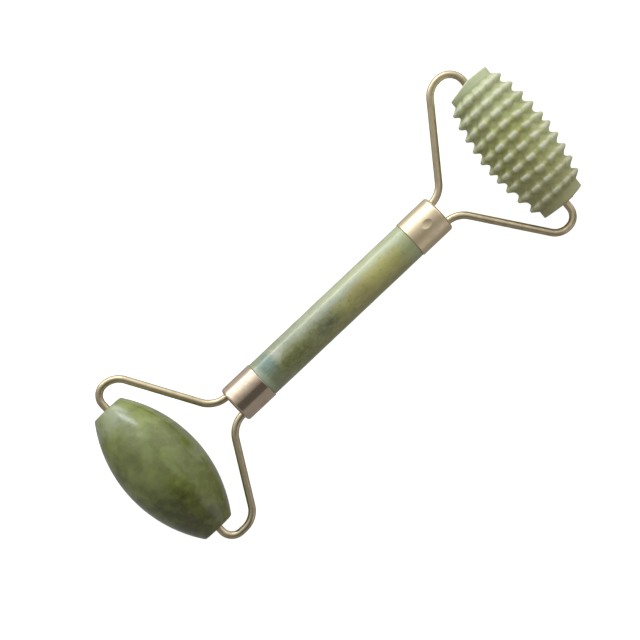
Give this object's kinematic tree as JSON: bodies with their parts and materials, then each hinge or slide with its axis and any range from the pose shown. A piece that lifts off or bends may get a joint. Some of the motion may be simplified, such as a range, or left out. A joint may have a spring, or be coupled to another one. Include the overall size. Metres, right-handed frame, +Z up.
{
  "type": "face roller",
  "caption": "Double-ended jade face roller: a stone handle with metal ferrules and two bent-wire forks, one holding a smooth barrel roller and the other a ridged one.",
  "frame": {"origin": "the middle of the handle, on the handle's centre line", "axes": "+X along the handle from the smooth roller's end to the ridged roller's end, +Y across it along the rollers, +Z up from the plane that both wire forks lie in"},
  "size_m": [0.1445, 0.0543, 0.0222],
  "materials": {
    "handle_jade": "polished",
    "smooth_jade": "polished",
    "ridged_jade": "satin",
    "ferrule_metal": "polished",
    "wire_metal": "gloss",
    "adhesive": "gloss",
    "bush_plastic": "satin"
  },
  "bodies": {
    "handle": {"handle_rod": "handle_jade", "smooth_end_ferrule": "ferrule_metal", "ridged_end_ferrule": "ferrule_metal", "smooth_end_fork": "wire_metal", "ridged_end_fork": "wire_metal", "smooth_end_potting": "adhesive", "ridged_end_potting": "adhesive"},
    "smooth_head": {"smooth_roller": "smooth_jade", "smooth_roller_bush_left": "bush_plastic", "smooth_roller_bush_right": "bush_plastic"},
    "ridged_head": {"ridged_roller": "ridged_jade", "ridged_roller_bush_left": "bush_plastic", "ridged_roller_bush_right": "bush_plastic"}
  },
  "joints": [
    {"name": "smooth_roller_spin", "type": "hinge", "parent": "handle", "child": "smooth_head", "pos_m": [-0.06045, 0, 0], "axis": [0, 1, 0], "continuous": true},
    {"name": "ridged_roller_spin", "type": "hinge", "parent": "handle", "child": "ridged_head", "pos_m": [0.0625, 0, 0], "axis": [0.0576, 0.9983, 0], "continuous": true}
  ]
}
